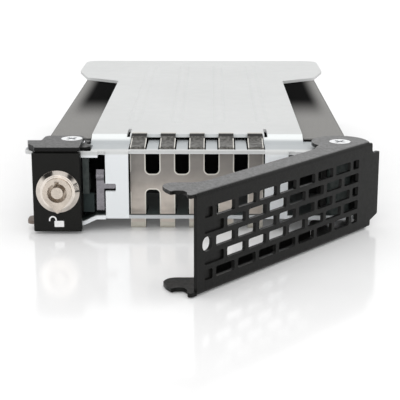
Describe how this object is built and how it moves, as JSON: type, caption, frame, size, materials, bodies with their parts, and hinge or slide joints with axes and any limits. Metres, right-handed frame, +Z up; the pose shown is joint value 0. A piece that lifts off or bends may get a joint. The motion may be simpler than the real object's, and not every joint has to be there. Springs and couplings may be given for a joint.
{
  "type": "hot-swap drive caddy",
  "caption": "Folded steel drive tray with a keyed lock in a black bezel, a perforated swing handle on a side pivot and a slotted spring grounding strip.",
  "frame": {"origin": "middle of the front bezel's plane, level with the underside of the tray", "axes": "+X to the viewer's right across the front, +Y along the slide into the bay, +Z up through the deck"},
  "size_m": [0.1204, 0.2654, 0.0309],
  "materials": {
    "galvanised": "pale satin zinc-coated steel sheet",
    "black_steel": "black satin powder coat on steel sheet",
    "black_plastic": "fine-grained black moulding",
    "bright_screw": "bright zinc plate",
    "chrome": "polished plate",
    "lock_metal": "polished plate, slightly warm",
    "spring_steel": "dull spring steel",
    "dark_steel": "dark grey-green phosphate",
    "stainless": "satin stainless strip"
  },
  "bodies": {
    "sled": {"chassis_deck": "galvanised", "bottom_frame": "galvanised", "tray": "black_steel", "right_rivets": "galvanised", "left_rivets": "galvanised", "left_cover": "black_steel", "cover_screw": "bright_screw", "cover_washer": "bright_screw", "lock_housing": "black_plastic", "housing_screw": "bright_screw", "lock_ring": "chrome", "lock_barrel": "chrome", "lock_clip": "spring_steel", "kick_spring": "spring_steel", "kick_spring_rivet": "bright_screw", "grounding_strip": "stainless", "pivot_post": "dark_steel", "hinge_block": "black_plastic", "upper_pivot_screw": "bright_screw", "lower_pivot_screw": "bright_screw", "upper_pivot_washer": "bright_screw", "lower_pivot_washer": "bright_screw"},
    "handle": {"handle": "black_steel"},
    "lock_rotor": {"lock_rotor": "lock_metal", "lock_cam": "lock_metal", "cam_screw": "bright_screw"},
    "lock_bar": {"lock_bar": "dark_steel"}
  },
  "joints": [
    {"name": "handle_hinge", "type": "hinge", "parent": "sled", "child": "handle", "pos_m": [0.0484, 0.0081, 0.015], "axis": [0, 0, 1], "range_deg": [-50.4, 9.6]},
    {"name": "lock_turn", "type": "hinge", "parent": "sled", "child": "lock_rotor", "pos_m": [-0.0465, 0, 0.0148], "axis": [0, 1, 0], "range_deg": [0, 90]},
    {"name": "lock_bar_slide", "type": "slide", "parent": "sled", "child": "lock_bar", "axis": [0, 0, 1], "range_m": [0, 0.0045]}
  ],
  "couplings": [
    {"joint": "lock_turn", "follows": "lock_bar_slide", "rad_per_m": 349.06}
  ]
}
